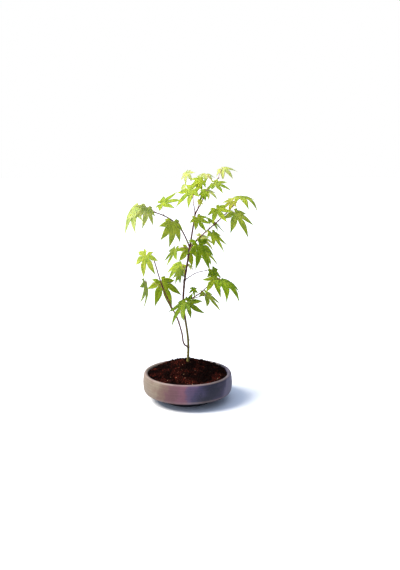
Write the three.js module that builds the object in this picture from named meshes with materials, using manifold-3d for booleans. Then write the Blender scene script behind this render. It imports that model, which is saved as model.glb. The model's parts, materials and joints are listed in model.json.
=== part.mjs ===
// A young Japanese maple in a shallow round stoneware pot: the turned pot, the mounded soil,
// one thin stem with its boughs and twigs, and the hanging leaves, each on its own stalk.
// Millimetres, +Z up, the front faces -Y. The origin is the middle of the pot's flat underside.
import * as THREE from "three";
import { mergeVertices } from "three/addons/utils/BufferGeometryUtils.js";
import Module from "manifold-3d";

const wasm = await Module();
wasm.setup();

// Pot: a shallow bowl with an upright wall on a smaller flat foot.
const POT_RADIUS = 75;
const POT_HEIGHT = 47.3;
const WALL = 6.5;
const FOOT_RADIUS = 42.5;
const FOOT_HEIGHT = 5.5;
const FLOOR_HEIGHT = 17.5;
const POT_SEGMENTS = 36;

// Soil: level with the rim in front, mounded round the stem, low behind on the left.
const SOIL_LEVEL = 44.3;
const MOUND = { x: -2, y: 32, rise: 13.2, spread: 25 };
const HOLLOW = { x: -54, y: 34, rise: -2.5, spread: 16 };
const SOIL_SEGMENTS = 24;
const SOIL_RINGS = 5;

// Stem: it stands on a small flat seat in the mound.
const GROUND = 55.7;
const STEM_FOOT = { x: 0, y: 28 };
const SEAT_RADIUS = 5;
const FLARE = 1;
const FLARE_LENGTH = 4;

// Fits and fineness of the facets.
const GAP = 0.3;
const LIMB_STEP = 12;
const LIMB_SIDES = 6;
const STALK_RADIUS = 0.6;
const STALK_SIDES = 5;
const STALK_STEPS = 2;
const STALK_ARCH = 0.16;
const BLADE_THICKNESS = 1.7;

// A leaf has seven pointed lobes, counted outwards from the middle one.
const LOBE_LENGTHS = [1, 0.88, 0.6, 0.33];
const LOBE_SPREAD = 38;
const LOBE_HALF_WIDTH = 0.135;
const SHOULDER = 0.52;
const SINUS = 0.27;
const HEEL = 0.05;

const COLOURS = {
  pot: 0x6f625f,
  soil: 0x2a1a14,
  oldWood: 0x6b6a3f,
  youngWood: 0x6a4536,
  leaf: 0x8aa63a,
};

// Limbs, in the order in which they grow. radii are at the start and at the tip, and a route
// is what follows the point on the parent, whose share of the length is counted from its foot.
const LIMBS = [
  {
    name: "trunk",
    radii: [2.1, 1.55],
    route: [[0, 28, GROUND + GAP], [1, 27, 82], [0, 26, 102], [-7, 23, 157], [-6, 22, 188], [4, 18, 255]],
  },
  { name: "leader", parent: "trunk", share: 1, radii: [1.5, 1.25], route: [[9, 16, 286], [13, 14, 311]] },
  {
    name: "left_bough",
    parent: "trunk",
    share: 1,
    radii: [1.3, 0.85],
    route: [[-8, 8, 283], [-24, -4, 302], [-40, -14, 312], [-52, -22, 317]],
  },
  {
    name: "right_bough",
    parent: "trunk",
    share: 1,
    radii: [1.3, 0.85],
    route: [[27, 26, 277], [51, 34, 297], [70, 40, 315], [81, 44, 326]],
  },
  {
    name: "top_twig",
    parent: "leader",
    share: 1,
    radii: [1.15, 0.75],
    route: [[22, 18, 327], [34, 26, 348], [51, 38, 367]],
  },
  {
    name: "top_left_twig",
    parent: "leader",
    share: 1,
    radii: [0.8, 0.55],
    route: [[10, 18, 331], [8, 28, 353]],
  },
  {
    name: "low_left_stem",
    parent: "trunk",
    share: 0.13,
    radii: [1.4, 0.95],
    route: [[-6, 23, 88], [-10, 16, 111], [-18, 6, 140], [-29, -4, 165], [-41, -12, 197], [-52, -22, 238]],
  },
  {
    name: "low_right_bough",
    parent: "trunk",
    share: 0.5,
    radii: [1.1, 0.7],
    route: [[7, 16, 169], [21, 8, 180], [34, -2, 194], [52, -18, 210]],
  },
  { name: "low_right_twig", parent: "low_right_bough", share: 0.22, radii: [0.7, 0.55], route: [[29, 20, 174]] },
  {
    name: "mid_right_twig",
    parent: "trunk",
    share: 0.72,
    radii: [0.8, 0.6],
    route: [[14, 24, 211], [31, 32, 214]],
  },
];

// Leaves. share is the place on the limb, and stalk leads from there to the foot of the blade.
// Seen from the front, hang turns the middle lobe from straight down towards the right, lean
// brings its tip forward, and turn rolls the blade about that lobe, its upper face to the left.
// size is the length of the middle lobe, droop the bend of a lobe towards its tip, and fan the
// spread of the lobes. Angles are in degrees.
const LEAVES = [
  {
    name: "left_tip_outer", limb: "left_bough", share: 1, stalk: [-24, 12, 10],
    hang: -46, lean: 15, turn: 65, size: 61, droop: 55, fan: 0.7,
  },
  {
    name: "left_tip_inner", limb: "left_bough", share: 0.96, stalk: [-13, -18, 10],
    hang: -5, lean: 35, turn: -35, size: 37, droop: 20, fan: 0.95,
  },
  {
    name: "left_upright", limb: "left_bough", share: 0.8, stalk: [-5, 14, 18],
    hang: 105, lean: 15, turn: -65, size: 42, droop: 0, fan: 1.1,
  },
  {
    name: "left_hanging", limb: "left_bough", share: 0.45, stalk: [-9, -21, 10],
    hang: 3, lean: 20, turn: -35, size: 47, droop: 35, fan: 0.88,
  },
  {
    name: "top_far_left", limb: "top_left_twig", share: 1, stalk: [-8, 16, 23],
    hang: -25, lean: 30, turn: 50, size: 25, droop: 50, fan: 1.25,
  },
  {
    name: "top_left_small", limb: "top_left_twig", share: 0.85, stalk: [-14, 12, 10],
    hang: -20, lean: 30, turn: 60, size: 18, droop: 35, fan: 0.95,
  },
  {
    name: "top_left", limb: "top_left_twig", share: 0.35, stalk: [-2, -31, 25],
    hang: -50, lean: 5, turn: 55, size: 41, droop: 15, fan: 1.2,
  },
  {
    name: "top_middle", limb: "top_twig", share: 0.25, stalk: [3, -12, 39],
    hang: -75, lean: 30, turn: 40, size: 27, droop: 40, fan: 1.1,
  },
  {
    name: "top_rear", limb: "top_twig", share: 0.8, stalk: [-11, 24, 16],
    hang: -5, lean: 75, turn: 0, size: 27, droop: 55, fan: 0.9,
  },
  {
    name: "top_tip", limb: "top_twig", share: 1, stalk: [7, 22, 15],
    hang: 75, lean: 45, turn: -55, size: 31, droop: 60, fan: 1.15,
  },
  {
    name: "top_right", limb: "top_twig", share: 0.9, stalk: [-2, -21, -2],
    hang: 75, lean: 10, turn: -60, size: 33, droop: 20, fan: 1.15,
  },
  {
    name: "top_inner", limb: "top_twig", share: 0.45, stalk: [3, -18, 10],
    hang: 75, lean: 30, turn: -70, size: 28, droop: 50, fan: 1.25,
  },
  {
    name: "top_bud", limb: "top_twig", share: 0.1, stalk: [4, -11, 18],
    hang: 0, lean: 10, turn: 40, size: 14, droop: 20, fan: 0.8,
  },
  {
    name: "right_tip", limb: "right_bough", share: 1, stalk: [6, 18, 10],
    hang: 90, lean: 30, turn: -85, size: 47, droop: 65, fan: 1.05,
  },
  {
    name: "right_tip_inner", limb: "right_bough", share: 0.93, stalk: [-1, -14, 10],
    hang: -65, lean: 15, turn: 50, size: 27, droop: 45, fan: 1.1,
  },
  {
    name: "right_upper", limb: "right_bough", share: 0.6, stalk: [-4, -40, 24],
    hang: 40, lean: 40, turn: -20, size: 34, droop: 15, fan: 1.1,
  },
  {
    name: "right_outer", limb: "right_bough", share: 0.85, stalk: [8, -28, -3],
    hang: 40, lean: 30, turn: -50, size: 49, droop: 30, fan: 1.15,
  },
  {
    name: "leader_front", limb: "leader", share: 0.9, stalk: [4, -32, 3],
    hang: 30, lean: -10, turn: 30, size: 31, droop: 0, fan: 1,
  },
  {
    name: "right_edge", limb: "right_bough", share: 0.42, stalk: [1, 23, 12],
    hang: 55, lean: 5, turn: -85, size: 41, droop: 10, fan: 1.15,
  },
  {
    name: "right_lower", limb: "right_bough", share: 0.25, stalk: [17, -35, 10],
    hang: 35, lean: 25, turn: -65, size: 41, droop: 0, fan: 0.95,
  },
  {
    name: "right_rear", limb: "right_bough", share: 0.12, stalk: [7, 29, 4],
    hang: 75, lean: -15, turn: -70, size: 40, droop: 35, fan: 1.05,
  },
  {
    name: "fork_front", limb: "trunk", share: 0.96, stalk: [16, -46, 18],
    hang: 30, lean: 0, turn: -50, size: 49, droop: 15, fan: 1.15,
  },
  {
    name: "fork_rear_right", limb: "trunk", share: 0.98, stalk: [24, 22, -7],
    hang: 60, lean: 5, turn: -80, size: 39, droop: 35, fan: 1.25,
  },
  {
    name: "fork_rear", limb: "trunk", share: 0.95, stalk: [-1, 29, 5],
    hang: 10, lean: -10, turn: 10, size: 41, droop: 20, fan: 1.1,
  },
  {
    name: "fork_left", limb: "trunk", share: 0.99, stalk: [-23, -28, 3],
    hang: -25, lean: 25, turn: 65, size: 36, droop: 0, fan: 1.1,
  },
  {
    name: "low_left_tip", limb: "low_left_stem", share: 1, stalk: [-12, -14, 12],
    hang: -20, lean: 5, turn: 35, size: 42, droop: 55, fan: 1.2,
  },
  {
    name: "low_left_hanging", limb: "low_left_stem", share: 0.72, stalk: [-28, -17, 14],
    hang: 12, lean: 15, turn: -85, size: 49, droop: 25, fan: 0.9,
  },
  {
    name: "low_left_large", limb: "low_left_stem", share: 0.74, stalk: [-3, 22, 3],
    hang: 33, lean: 25, turn: -40, size: 53, droop: 40, fan: 1.1,
  },
  {
    name: "stem_rear", limb: "trunk", share: 0.72, stalk: [-5, 37, 21],
    hang: -60, lean: 25, turn: 55, size: 41, droop: 50, fan: 0.8,
  },
  {
    name: "stem_rear_low", limb: "trunk", share: 0.66, stalk: [-5, 6, 28],
    hang: -25, lean: 0, turn: 60, size: 32, droop: 5, fan: 0.9,
  },
  {
    name: "low_front", limb: "low_left_stem", share: 0.35, stalk: [13, -42, 37],
    hang: -44, lean: 15, turn: 65, size: 44, droop: 20, fan: 1.1,
  },
  {
    name: "low_right_small", limb: "low_right_bough", share: 0.35, stalk: [-5, -16, 15],
    hang: 10, lean: 30, turn: -40, size: 16, droop: 25, fan: 1.25,
  },
  {
    name: "mid_right_upper", limb: "mid_right_twig", share: 1, stalk: [10, 20, -2],
    hang: 30, lean: 5, turn: -55, size: 36, droop: 30, fan: 0.9,
  },
  {
    name: "mid_right_lower", limb: "low_right_bough", share: 0.75, stalk: [5, -7, 9],
    hang: 35, lean: 45, turn: -50, size: 38, droop: 35, fan: 1.25,
  },
  {
    name: "low_right_tip", limb: "low_right_bough", share: 1, stalk: [2, -8, -1],
    hang: 75, lean: 35, turn: -80, size: 54, droop: 65, fan: 0.8,
  },
  {
    name: "low_right_under", limb: "low_right_twig", share: 1, stalk: [2, 14, -1],
    hang: 45, lean: 25, turn: -75, size: 44, droop: 5, fan: 1.2,
  },
  {
    name: "top_core", limb: "top_left_twig", share: 0.6, stalk: [11, -8, 29],
    hang: -20, lean: 15, turn: 35, size: 26, droop: 35, fan: 0.85,
  },
  {
    name: "top_dark", limb: "top_twig", share: 0.65, stalk: [-5, -49, 0],
    hang: -40, lean: 0, turn: 30, size: 22, droop: 35, fan: 0.8,
  },
  {
    name: "top_along", limb: "top_twig", share: 0.7, stalk: [3, -4, 4],
    hang: -50, lean: 5, turn: 75, size: 22, droop: 10, fan: 0.8,
  },
  {
    name: "fork_pale", limb: "trunk", share: 0.8, stalk: [4, 14, 7],
    hang: 50, lean: 5, turn: -75, size: 16, droop: 10, fan: 1.2,
  },
  {
    name: "fork_curl", limb: "trunk", share: 0.97, stalk: [10, -32, 19],
    hang: -115, lean: -5, turn: 65, size: 16, droop: 30, fan: 0.9,
  },
  {
    name: "low_right_front", limb: "low_left_stem", share: 0.3, stalk: [15, -29, 43],
    hang: 55, lean: 25, turn: 15, size: 35, droop: 5, fan: 1.2,
  },
];

const radians = THREE.MathUtils.degToRad;

function toSolid(geometry) {
  const bare = new THREE.BufferGeometry();
  bare.setAttribute("position", geometry.getAttribute("position"));
  bare.setIndex(geometry.index);
  const merged = mergeVertices(bare, 1e-3);
  const corners = merged.index.array;
  const triangles = [];
  for (let i = 0; i < corners.length; i += 3) {
    const [a, b, c] = corners.slice(i, i + 3);
    if (a !== b && b !== c && c !== a) triangles.push(a, b, c);
  }
  const mesh = new wasm.Mesh({
    numProp: 3,
    vertProperties: Float32Array.from(merged.getAttribute("position").array),
    triVerts: Uint32Array.from(triangles),
  });
  return new wasm.Manifold(mesh);
}

function toMesh(name, solid, colour, roughness) {
  const { vertProperties, triVerts } = solid.getMesh();
  const geometry = new THREE.BufferGeometry();
  geometry.setAttribute("position", new THREE.BufferAttribute(vertProperties, 3));
  geometry.setIndex(new THREE.BufferAttribute(triVerts, 1));
  geometry.computeVertexNormals();
  const material = new THREE.MeshStandardMaterial({ color: colour, roughness, metalness: 0 });
  const mesh = new THREE.Mesh(geometry, material);
  mesh.name = name;
  return mesh;
}

function turned(profile, segments) {
  const points = profile.map(([radius, height]) => new THREE.Vector2(radius, height));
  return new THREE.LatheGeometry(points, segments).rotateX(Math.PI / 2);
}

// The underside slopes up from the foot to an upright wall, which swells a little half way up
// and closes in to a rounded lip.
function potSolid() {
  const inner = POT_RADIUS - 2 - WALL;
  const profile = [
    [0, 0],
    [FOOT_RADIUS - 1, 0],
    [FOOT_RADIUS, 1],
    [FOOT_RADIUS + 1, FOOT_HEIGHT],
    [FOOT_RADIUS + 3, FOOT_HEIGHT + 1.5],
    [POT_RADIUS - 9, FOOT_HEIGHT + 7],
    [POT_RADIUS - 4.2, FOOT_HEIGHT + 9],
    [POT_RADIUS - 1.8, FOOT_HEIGHT + 11.5],
    [POT_RADIUS - 0.9, FOOT_HEIGHT + 15],
    [POT_RADIUS, POT_HEIGHT - 17],
    [POT_RADIUS - 0.7, POT_HEIGHT - 8],
    [POT_RADIUS - 2, POT_HEIGHT - 1.6],
    [POT_RADIUS - 4.2, POT_HEIGHT],
    [inner + 1, POT_HEIGHT - 1.6],
    [inner, POT_HEIGHT - 5],
    [inner, FLOOR_HEIGHT + 5],
    [inner - 4, FLOOR_HEIGHT],
    [0, FLOOR_HEIGHT],
  ];
  return toSolid(turned(profile, POT_SEGMENTS));
}

function bump({ x, y, rise, spread }, px, py) {
  const squared = (px - x) ** 2 + (py - y) ** 2;
  return rise * Math.exp(-squared / (2 * spread ** 2));
}

function soilSolid() {
  const radius = POT_RADIUS - 2 - WALL - GAP;
  const floor = FLOOR_HEIGHT + GAP;
  const profile = [[0, floor], [radius - 4, floor], [radius, floor + 5]];
  for (let ring = SOIL_RINGS; ring >= 0; ring -= 1) profile.push([(radius * ring) / SOIL_RINGS, SOIL_LEVEL]);
  const geometry = turned(profile, SOIL_SEGMENTS);
  const position = geometry.getAttribute("position");
  for (let i = 0; i < position.count; i += 1) {
    if (position.getZ(i) < SOIL_LEVEL - 1) continue;
    const [x, y] = [position.getX(i), position.getY(i)];
    position.setZ(i, SOIL_LEVEL + bump(MOUND, x, y) + bump(HOLLOW, x, y));
  }
  const seat = new THREE.CylinderGeometry(SEAT_RADIUS, SEAT_RADIUS, 20, 16).rotateX(Math.PI / 2);
  seat.translate(STEM_FOOT.x, STEM_FOOT.y, GROUND + 10);
  return toSolid(geometry).subtract(toSolid(seat));
}

// A round bar bent along a curve: radiusAt gives its radius at each share of the length.
function bentBar(curve, steps, sides, radiusAt, overrun = 0) {
  const frames = curve.computeFrenetFrames(steps, false);
  const geometry = new THREE.CylinderGeometry(1, 1, 1, sides, steps);
  const position = geometry.getAttribute("position");
  for (let i = 0; i < position.count; i += 1) {
    const [x, height, z] = [position.getX(i), position.getY(i), position.getZ(i)];
    const step = Math.round((height + 0.5) * steps);
    const radius = radiusAt(step / steps);
    const past = step === 0 ? -overrun : step === steps ? overrun : 0;
    const point = curve.getPointAt(step / steps);
    point.addScaledVector(frames.tangents[step], past);
    point.addScaledVector(frames.normals[step], x * radius);
    point.addScaledVector(frames.binormals[step], -z * radius);
    position.setXYZ(i, point.x, point.y, point.z);
  }
  return toSolid(geometry);
}

const curves = {};

function limbCurve({ parent, share, route }) {
  const points = route.map((point) => new THREE.Vector3(...point));
  if (parent) points.unshift(curves[parent].getPointAt(share));
  return new THREE.CatmullRomCurve3(points);
}

function limbSolid(limb, extra) {
  const curve = curves[limb.name];
  const length = curve.getLength();
  const steps = Math.max(3, Math.round(length / LIMB_STEP));
  const flare = limb.parent ? 0 : FLARE;
  const radiusAt = (share) => {
    const taper = THREE.MathUtils.lerp(limb.radii[0], limb.radii[1], share);
    return taper + flare * Math.exp((-share * length) / FLARE_LENGTH) + extra;
  };
  return bentBar(curve, steps, LIMB_SIDES, radiusAt, extra);
}

// A point of the blade: along a lobe's midrib, then sideways, and sunk by the droop.
function bladePoint(leaf, lobe, along, aside, height) {
  const angle = radians(lobe * LOBE_SPREAD * leaf.fan);
  const length = leaf.size * LOBE_LENGTHS[Math.ceil(Math.abs(lobe))];
  const bend = (radians(leaf.droop + 1) * length) / leaf.size;
  const reach = (length / bend) * Math.sin(bend * along);
  const sunk = (length / bend) * (1 - Math.cos(bend * along));
  const x = Math.sin(angle) * reach + Math.cos(angle) * aside;
  const y = Math.cos(angle) * reach - Math.sin(angle) * aside;
  return [x, y, height - sunk];
}

// The blade is a thin lens: an upper and a lower skin that meet along the outline of the lobes.
function bladeGeometry(leaf) {
  const heel = [0, -HEEL * leaf.size, 0];
  const last = LOBE_LENGTHS.length - 1;
  const corners = [];
  for (let lobe = -last; lobe <= last; lobe += 1) {
    const width = LOBE_HALF_WIDTH * leaf.size * (0.4 + 0.6 * LOBE_LENGTHS[Math.abs(lobe)]);
    const outline = [
      lobe === -last ? heel : bladePoint(leaf, lobe - 0.5, SINUS, 0, 0),
      bladePoint(leaf, lobe, SHOULDER, -width, 0),
      bladePoint(leaf, lobe, 1, 0, 0),
      bladePoint(leaf, lobe, SHOULDER, width, 0),
      lobe === last ? heel : bladePoint(leaf, lobe + 0.5, SINUS, 0, 0),
    ];
    for (const height of [BLADE_THICKNESS / 2, -BLADE_THICKNESS / 2]) {
      const ring = [...outline, [0, 0, height]];
      const rib = bladePoint(leaf, lobe, SHOULDER * 0.9, 0, height);
      ring.forEach((point, i) => {
        const next = ring[(i + 1) % ring.length];
        corners.push(...(height > 0 ? [next, point, rib] : [point, next, rib]));
      });
    }
  }
  const geometry = new THREE.BufferGeometry();
  geometry.setAttribute("position", new THREE.Float32BufferAttribute(corners.flat(), 3));
  return geometry;
}

function bladeFrame(leaf, foot) {
  const [hang, lean] = [radians(leaf.hang), radians(leaf.lean)];
  const along = new THREE.Vector3(Math.sin(hang), 0, -Math.cos(hang)).multiplyScalar(Math.cos(lean));
  along.y = -Math.sin(lean);
  const face = new THREE.Vector3(0, -1, 0).projectOnPlane(along).normalize();
  face.applyAxisAngle(along, radians(leaf.turn));
  const aside = new THREE.Vector3().crossVectors(along, face);
  return new THREE.Matrix4().makeBasis(aside, along, face).setPosition(foot);
}

// The stalk rises a little in an arch between the limb and the blade.
function stalkCurve(leaf) {
  const start = curves[leaf.limb].getPointAt(leaf.share);
  const foot = start.clone().add(new THREE.Vector3(...leaf.stalk));
  const middle = start.clone().lerp(foot, 0.5);
  middle.z += STALK_ARCH * start.distanceTo(foot);
  return new THREE.QuadraticBezierCurve3(start, middle, foot);
}

const plant = new THREE.Group();
plant.add(toMesh("pot", potSolid(), COLOURS.pot, 0.75));
plant.add(toMesh("soil", soilSolid(), COLOURS.soil, 0.95));

// Each limb, and then each leaf, stops short of the limbs and stalks that were there before it.
const taken = [];

function clearOf(solid) {
  return taken.reduce((rest, other) => rest.subtract(other), solid);
}

for (const limb of LIMBS) {
  curves[limb.name] = limbCurve(limb);
  const colour = limb.parent ? COLOURS.youngWood : COLOURS.oldWood;
  plant.add(toMesh(limb.name, clearOf(limbSolid(limb, 0)), colour, 0.6));
  taken.push(limbSolid(limb, GAP));
}

for (const leaf of LEAVES) {
  const curve = stalkCurve(leaf);
  const stalk = bentBar(curve, STALK_STEPS, STALK_SIDES, () => STALK_RADIUS);
  const blade = bladeGeometry(leaf).applyMatrix4(bladeFrame(leaf, curve.getPointAt(1)));
  plant.add(toMesh(`foliage_${leaf.name}`, clearOf(stalk.add(toSolid(blade))), COLOURS.leaf, 0.6));
  taken.push(bentBar(curve, STALK_STEPS, STALK_SIDES, () => STALK_RADIUS + GAP));
}

export default plant;
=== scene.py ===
"""A young Japanese maple in a shallow round stoneware pot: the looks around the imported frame.

Metres, +Z up, the front faces -Y. The origin is the middle of the pot's flat underside.
"""

import json
import math
import random
from collections import namedtuple

import bmesh
import bpy
from mathutils import Matrix, Vector, noise

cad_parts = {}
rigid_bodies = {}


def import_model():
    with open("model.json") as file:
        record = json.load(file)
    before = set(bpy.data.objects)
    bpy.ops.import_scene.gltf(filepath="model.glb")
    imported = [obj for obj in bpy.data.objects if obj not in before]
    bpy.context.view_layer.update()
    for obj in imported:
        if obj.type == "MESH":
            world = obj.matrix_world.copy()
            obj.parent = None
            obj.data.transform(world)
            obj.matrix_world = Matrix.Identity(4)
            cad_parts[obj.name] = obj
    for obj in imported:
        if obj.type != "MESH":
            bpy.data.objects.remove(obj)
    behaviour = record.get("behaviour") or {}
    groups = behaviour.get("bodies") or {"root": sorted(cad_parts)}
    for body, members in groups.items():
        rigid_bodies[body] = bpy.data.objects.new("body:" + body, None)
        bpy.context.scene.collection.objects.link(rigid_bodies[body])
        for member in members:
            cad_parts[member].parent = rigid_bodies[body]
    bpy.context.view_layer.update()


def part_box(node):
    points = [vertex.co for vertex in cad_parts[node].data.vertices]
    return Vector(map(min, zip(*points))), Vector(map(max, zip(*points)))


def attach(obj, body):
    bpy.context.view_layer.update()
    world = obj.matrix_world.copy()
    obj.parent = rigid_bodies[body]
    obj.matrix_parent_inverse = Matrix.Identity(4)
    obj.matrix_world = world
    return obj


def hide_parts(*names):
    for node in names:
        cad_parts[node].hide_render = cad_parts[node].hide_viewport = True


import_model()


# ---- Pot ---------------------------------------------------------------------------------------
# A shallow bowl of unglazed stoneware, thrown on a wheel and turned to a smaller flat foot. The
# wall keeps the fine lines of the turning, and handling has rubbed the lip and the edges pale.

POT_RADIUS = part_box("pot")[1].x
POT_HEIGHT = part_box("pot")[1].z
WALL = 0.0065
LIP_INSET = 0.002
INNER_RADIUS = POT_RADIUS - LIP_INSET - WALL
FOOT_RADIUS = 0.0425
FOOT_HEIGHT = 0.0055
CORNER_HEIGHT = 0.0175
FLOOR_HEIGHT = 0.0175
POT_SEGMENTS = 144
POT_STEP = 0.0008
TURNING_PITCH = 0.0021
TURNING_DEPTH = 0.00004
WOBBLE = 0.00022
STONE_RELIEF = 0.00016


def paint(red, green, blue):
    """An 8-bit screen colour as the linear colour that a node takes."""
    parts = (red / 255, green / 255, blue / 255)
    linear = [((part + 0.055) / 1.055) ** 2.4 if part > 0.04 else part / 12.92 for part in parts]
    return (*linear, 1)


class Wire:
    """A node's output socket. Sums, differences and products of wires add Math nodes."""

    def __init__(self, graph, socket):
        self.graph = graph
        self.socket = socket

    def out(self, name):
        return Wire(self.graph, self.socket.node.outputs[name])

    def math(self, operation, first, second):
        return self.graph.node("ShaderNodeMath", {"operation": operation}, {0: first, 1: second})

    def __add__(self, other):
        return self.math("ADD", self, other)

    def __radd__(self, other):
        return self.math("ADD", other, self)

    def __sub__(self, other):
        return self.math("SUBTRACT", self, other)

    def __rsub__(self, other):
        return self.math("SUBTRACT", other, self)

    def __mul__(self, other):
        return self.math("MULTIPLY", self, other)

    def __rmul__(self, other):
        return self.math("MULTIPLY", other, self)


class Graph:
    """A node tree that is being built, of a material or of Geometry Nodes."""

    def __init__(self, tree):
        self.tree = tree

    def node(self, kind, settings=None, sockets=None, output=0):
        made = self.tree.nodes.new(kind)
        for name, value in (settings or {}).items():
            setattr(made, name, value)
        for key, value in (sockets or {}).items():
            if isinstance(value, Wire):
                self.tree.links.new(value.socket, made.inputs[key])
            else:
                made.inputs[key].default_value = value
        return Wire(self, made.outputs[output])

    def end(self, kind, wire):
        """Leads a wire to the output node that ends the tree."""
        self.tree.links.new(wire.socket, self.tree.nodes.new(kind).inputs[0])


class Finish(Graph):
    """A material with one Principled shader, whose plain values are given by socket."""

    def __init__(self, name, **plain):
        self.material = bpy.data.materials.new(name)
        self.material.use_nodes = True
        super().__init__(self.material.node_tree)
        self.tree.nodes.clear()
        titles = [key.replace("_", " ").title().replace("Ior", "IOR") for key in plain]
        skin = self.node("ShaderNodeBsdfPrincipled", sockets=dict(zip(titles, plain.values())))
        self.shader = skin.socket.node
        self.end("ShaderNodeOutputMaterial", skin)

    def feed(self, socket, wire):
        self.tree.links.new(wire.socket, self.shader.inputs[socket])

    def place(self):
        return self.node("ShaderNodeTexCoord", output="Object")

    def part(self, vector, axis):
        return self.node("ShaderNodeSeparateXYZ", sockets={0: vector}, output=axis)

    def scaled(self, place, scale):
        return self.node("ShaderNodeMapping", sockets={"Vector": place, "Scale": scale})

    def cloud(self, place, scale, detail=2.0):
        sockets = {"Vector": place, "Scale": scale, "Detail": detail}
        return self.node("ShaderNodeTexNoise", sockets=sockets, output="Fac")

    def between(self, value, low, high):
        """0 where value is under low, 1 over high, with a soft step; low may be the higher one."""
        sockets = {"Value": value, "From Min": low, "From Max": high}
        return self.node("ShaderNodeMapRange", {"interpolation_type": "SMOOTHSTEP"}, sockets)

    def mix(self, factor, first, second):
        return self.node("ShaderNodeMix", {"data_type": "RGBA"}, {0: factor, 6: first, 7: second}, 2)

    def bump(self, height, depth):
        self.feed("Normal", self.node("ShaderNodeBump", sockets={"Height": height, "Distance": depth}))


def pot_profile():
    """Stretches of (radius, height) from the middle of the underside, up the wall and in to the floor."""
    foot = [(0, 0), (FOOT_RADIUS - 0.001, 0)]
    foot_wall = [(FOOT_RADIUS, 0.001), (FOOT_RADIUS + 0.001, FOOT_HEIGHT)]
    shell = [
        (FOOT_RADIUS + 0.003, FOOT_HEIGHT + 0.0015),
        (POT_RADIUS - 0.009, CORNER_HEIGHT - 0.005),
        (POT_RADIUS - 0.0042, CORNER_HEIGHT - 0.003),
        (POT_RADIUS - 0.0018, CORNER_HEIGHT - 0.0004),
        (POT_RADIUS - 0.0009, CORNER_HEIGHT + 0.003),
        (POT_RADIUS, POT_HEIGHT - 0.017),
        (POT_RADIUS - 0.0007, POT_HEIGHT - 0.008),
        (POT_RADIUS - LIP_INSET, POT_HEIGHT - 0.0016),
        (POT_RADIUS - 0.0042, POT_HEIGHT),
        (INNER_RADIUS + 0.001, POT_HEIGHT - 0.0016),
        (INNER_RADIUS, POT_HEIGHT - 0.005),
        (INNER_RADIUS, FLOOR_HEIGHT + 0.005),
        (INNER_RADIUS - 0.004, FLOOR_HEIGHT),
    ]
    return [foot, foot_wall, shell, [(0, FLOOR_HEIGHT)]]


def smooth_path(points, step):
    """Points about a step apart on the centripetal Catmull-Rom curve through points."""
    points = [Vector(point) for point in points]
    ends = [2 * points[0] - points[1], *points, 2 * points[-1] - points[-2]]
    path = [points[0]]
    for p0, p1, p2, p3 in zip(ends, ends[1:], ends[2:], ends[3:]):
        d0, d1, d2 = [(b - a).length ** 0.5 for a, b in ((p0, p1), (p1, p2), (p2, p3))]
        leave = ((p1 - p0) / d0 - (p2 - p0) / (d0 + d1) + (p2 - p1) / d1) * d1
        reach = ((p2 - p1) / d1 - (p3 - p1) / (d1 + d2) + (p3 - p2) / d2) * d1
        count = max(1, round((p2 - p1).length / step))
        for i in range(1, count + 1):
            t = i / count
            bend = p1 * (2 * t**3 - 3 * t**2 + 1) + p2 * (3 * t**2 - 2 * t**3)
            path.append(bend + leave * (t**3 - 2 * t**2 + t) + reach * (t**3 - t**2))
    return path


def turned(name, profile, segments, shift):
    """A mesh turned round Z from a profile that starts and ends on the axis. shift places each point."""
    bm = bmesh.new()
    rings = []
    for radius, height in profile:
        count = segments if radius > 0 else 1
        angles = [2 * math.pi * i / segments for i in range(count)]
        rings.append([bm.verts.new(shift(radius, height, angle)) for angle in angles])
    for lower, upper in zip(rings, rings[1:]):
        for i in range(segments):
            corners = [lower[i % len(lower)], lower[(i + 1) % len(lower)]]
            corners += [upper[(i + 1) % len(upper)], upper[i % len(upper)]]
            bm.faces.new(list(dict.fromkeys(corners)))
    bmesh.ops.recalc_face_normals(bm, faces=bm.faces)
    return mesh_of(name, bm)


def mesh_of(name, bm):
    mesh = bpy.data.meshes.new(name)
    bm.to_mesh(mesh)
    bm.free()
    mesh.shade_smooth()
    return mesh


def thrown(radius, height, angle):
    """A point of the pot with the turning lines and the slight waver of a bowl thrown by hand."""
    on_wall = min(1, max(0, (radius - FOOT_RADIUS) / 0.02))
    lines = math.sin(2 * math.pi * height / TURNING_PITCH + 1.3 * math.sin(angle))
    depth = 0.5 + noise.noise((3 * math.cos(angle), 3 * math.sin(angle), 160 * height))
    waver = noise.noise((1.2 * math.cos(angle), 1.2 * math.sin(angle), 12 * height + 7))
    radius += on_wall * (TURNING_DEPTH * depth * (lines - 1) + WOBBLE * (waver - 0.6))
    return radius * math.cos(angle), radius * math.sin(angle), height


# The bands of colour across the wall, from left to right: where each starts and is full, and its tone.
# They stand partly for the kiln's flashing and partly for painted light and shade: paler and warmer on the
# lit left side, darker and cooler on the shaded right.
FLASH_AND_SHADE_BANDS = [
    (-0.066, -0.05, paint(94, 72, 62)),
    (-0.05, -0.036, paint(88, 57, 60)),
    (-0.034, -0.014, paint(103, 64, 76)),
    (-0.01, 0.001, paint(78, 60, 84)),
    (0.001, 0.018, paint(51, 45, 69)),
    (0.018, 0.036, paint(20, 20, 38)),
    (0.046, 0.06, paint(46, 40, 62)),
    (0.06, 0.068, paint(84, 78, 96)),
]


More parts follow.
